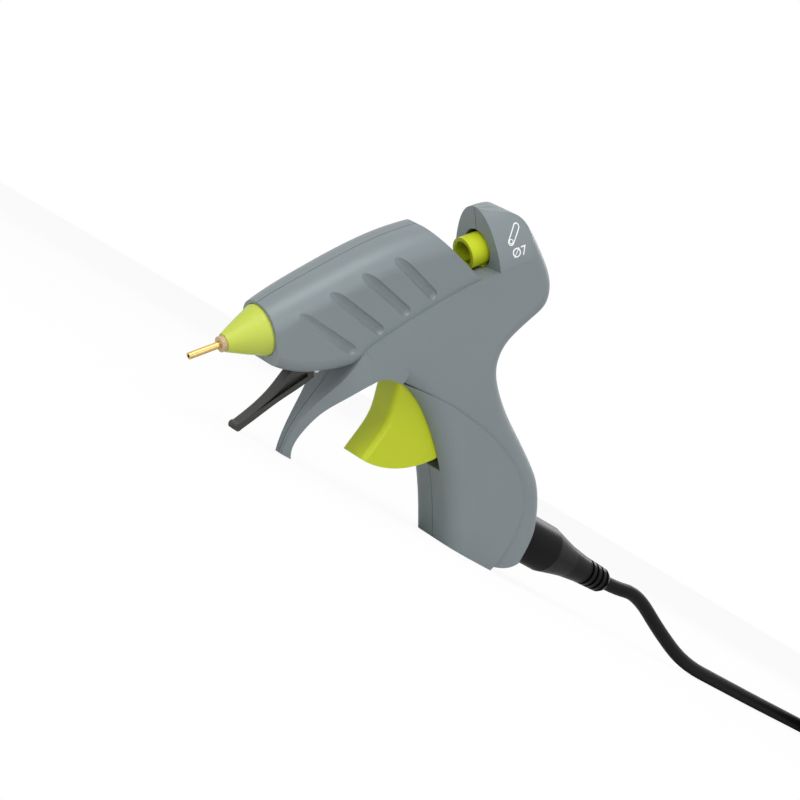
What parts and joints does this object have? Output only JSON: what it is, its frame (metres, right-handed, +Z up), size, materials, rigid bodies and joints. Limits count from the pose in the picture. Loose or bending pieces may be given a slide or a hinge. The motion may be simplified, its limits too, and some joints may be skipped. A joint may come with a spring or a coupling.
{
  "type": "hot glue gun",
  "caption": "Hot-melt glue gun with trigger feed, needle nozzle, fold-out wire-rest leg and mains cord, standing on its grip base.",
  "frame": {"origin": "on the table, below the middle of the box around the gun without its cord", "axes": "+Z up from the table, nozzle towards -X, cord leaves towards +X, seam of the housing halves at Y = 0"},
  "size_m": [0.4546, 0.0488, 0.1035],
  "materials": {
    "grey_plastic": "fine satin",
    "lime_plastic": "satin",
    "dark_plastic": "satin",
    "tan_silicone": "matt",
    "brass": "turned",
    "aluminium": "die cast",
    "ceramic": "sintered",
    "polyimide": "film",
    "clear_silicone": "matt",
    "steel": "zinc plated",
    "black_rubber": "matt",
    "brown_wire": "satin",
    "blue_wire": "satin",
    "white_tie": "satin"
  },
  "bodies": {
    "frame": {"housing_left": "grey_plastic", "housing_right": "grey_plastic", "nozzle_cover": "lime_plastic", "needle_tube": "brass", "needle_collar": "tan_silicone", "nozzle_body": "brass", "valve_ball": "steel", "valve_spring": "steel", "melt_chamber": "aluminium", "heater_element": "ceramic", "heater_electrodes": "aluminium", "heater_insulation": "polyimide", "crimp_terminals": "steel", "chamber_seal": "clear_silicone", "feed_sleeve": "clear_silicone", "sleeve_clamp": "steel", "trigger_pin": "steel", "return_spring": "steel", "stand_pin": "steel", "housing_screws": "steel", "cable_clamp": "dark_plastic", "clamp_screws": "steel", "lead_brown": "brown_wire", "lead_blue": "blue_wire", "strain_relief": "black_rubber", "cord_tail": "black_rubber", "cord": "black_rubber", "cord_hank": "black_rubber", "cord_tie": "white_tie", "plug_body": "black_rubber", "plug_pins": "brass"},
    "trigger": {"trigger": "lime_plastic", "trigger_link_pin": "steel"},
    "link": {"link": "steel", "lever_link_pin": "steel"},
    "carriage": {"feed_carriage": "lime_plastic", "gripper_pin": "steel"},
    "gripper": {"gripper_lever": "steel"},
    "stand": {"stand_leg": "dark_plastic"}
  },
  "joints": [
    {"name": "feed_slide", "type": "slide", "parent": "frame", "child": "carriage", "axis": [-0.7193, 0, -0.6947], "range_m": [0, 0.00522]},
    {"name": "trigger_pull", "type": "hinge", "parent": "frame", "child": "trigger", "pos_m": [-0.00098, 0, 0.04719], "axis": [0, -1, 0], "range_deg": [0, 22.01], "stiffness_Nm_per_rad": 0.1, "springref_deg": -17.19, "deforming": ["return_spring"]},
    {"name": "link_swing", "type": "hinge", "parent": "trigger", "child": "link", "pos_m": [-0.00813, 0, 0.06252], "axis": [0, -1, 0], "range_deg": [-24, 0]},
    {"name": "grip_tilt", "type": "hinge", "parent": "carriage", "child": "gripper", "pos_m": [0.00911, 0, 0.08209], "axis": [0, 1, 0], "range_deg": [0, 12.5]},
    {"name": "stand_fold", "type": "hinge", "parent": "frame", "child": "stand", "pos_m": [-0.03878, 0, 0.02876], "axis": [0, -1, 0], "range_deg": [0, 33]}
  ],
  "couplings": [
    {"joint": "trigger_pull", "follows": "feed_slide", "rad_per_m": 73.529},
    {"joint": "link_swing", "follows": "feed_slide", "rad_per_m": -77.787},
    {"joint": "grip_tilt", "follows": "feed_slide", "rad_per_m": 40.107}
  ]
}
